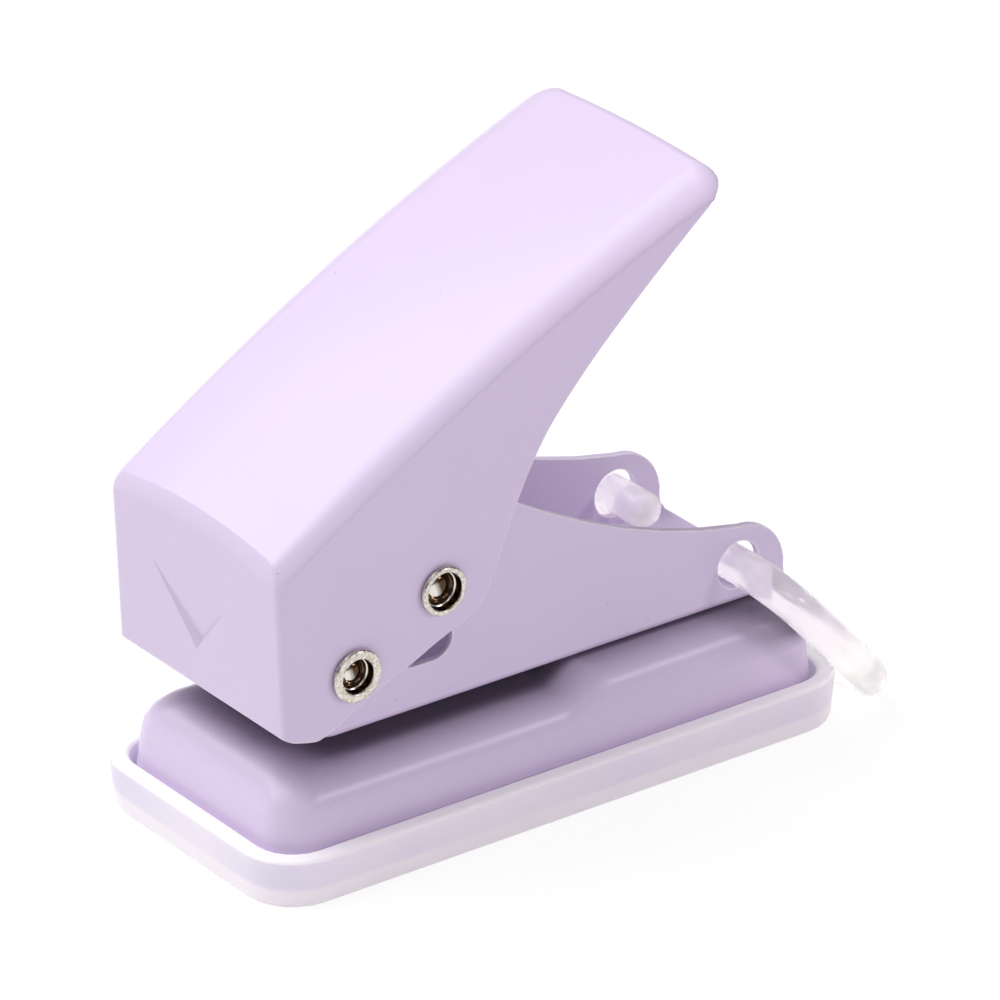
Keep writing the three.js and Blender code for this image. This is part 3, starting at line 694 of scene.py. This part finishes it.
# Floor: pale, white to the camera and to what reflects it or is seen through, with the
# object's soft shadow
def floor_material():
    material, tree = new_material("floor")
    seen = seen_by(tree, "Is Camera Ray", "Is Glossy Ray", "Is Transmission Ray")
    plain = add(tree, "ShaderNodeBsdfDiffuse", {"Color": (0.89, 0.872, 0.89, 1.0)})
    shadow = add(tree, "ShaderNodeBsdfDiffuse", {"Color": (0.22, 0.22, 0.22, 1.0)})
    glow = add(tree, "ShaderNodeEmission", {"Color": WHITE_RGBA, "Strength": 0.84})
    both = add(tree, "ShaderNodeAddShader", {
        0: shadow.outputs["BSDF"], 1: glow.outputs["Emission"]})
    surface(tree, mix_shader(tree, seen, plain.outputs["BSDF"], both.outputs["Shader"]))
    return material


FLOOR_HALF = 4.0
FLOOR_LEVEL = -0.05 * MM
floor_mesh = bpy.data.meshes.new("floor")
corners = [(-1.0, -1.0), (1.0, -1.0), (1.0, 1.0), (-1.0, 1.0)]
floor_mesh.from_pydata(
    [(x * FLOOR_HALF, y * FLOOR_HALF, FLOOR_LEVEL) for x, y in corners], [], [(0, 1, 2, 3)])
floor = bpy.data.objects.new("floor", floor_mesh)
floor_mesh.materials.append(floor_material())
scene.collection.objects.link(floor)


# World: soft ambient light, and white to the camera and to what is seen through
AMBIENT = 0.21


def background(tree, strength):
    return add(tree, "ShaderNodeBackground", {
        "Color": WHITE_RGBA, "Strength": strength}).outputs["Background"]


world = bpy.data.worlds.new("studio")
scene.world = world
world.use_nodes = True
world_tree = world.node_tree
world_tree.nodes.clear()
seen = seen_by(world_tree, "Is Camera Ray", "Is Transmission Ray")
sky = mix_shader(world_tree, seen, background(world_tree, AMBIENT), background(world_tree, 1.0))
surface(world_tree, sky, "ShaderNodeOutputWorld")


# Softboxes, aimed at the punch. Small ones at the right draw the highlight lines
AIM = Vector((0.0, 0.0, 30.0 * MM))


def softbox(name, where, side, watts, colour):
    data = bpy.data.lights.new(name, "AREA")
    data.shape = "RECTANGLE"
    data.size = side
    data.size_y = side
    data.energy = watts
    data.color = colour
    lamp = bpy.data.objects.new(name, data)
    lamp.location = where
    lamp.rotation_euler = (AIM - Vector(where)).to_track_quat("-Z", "Y").to_euler()
    scene.collection.objects.link(lamp)


KEY_SIDE = 1.3
STRIP_SIDE = 0.18
PALE_PINK = (1.0, 0.94, 0.99)
PINK = (1.0, 0.91, 0.99)

softbox("key", (-0.48, -0.45, 1.13), KEY_SIDE, watts=19.3, colour=WHITE)
softbox("strip_rear", (0.76, 0.53, 0.38), STRIP_SIDE, watts=1.5, colour=PALE_PINK)
softbox("strip_middle", (0.87, -0.04, 0.44), STRIP_SIDE, watts=0.45, colour=PINK)
softbox("strip_front", (0.81, -0.32, 0.49), STRIP_SIDE, watts=0.45, colour=PINK)
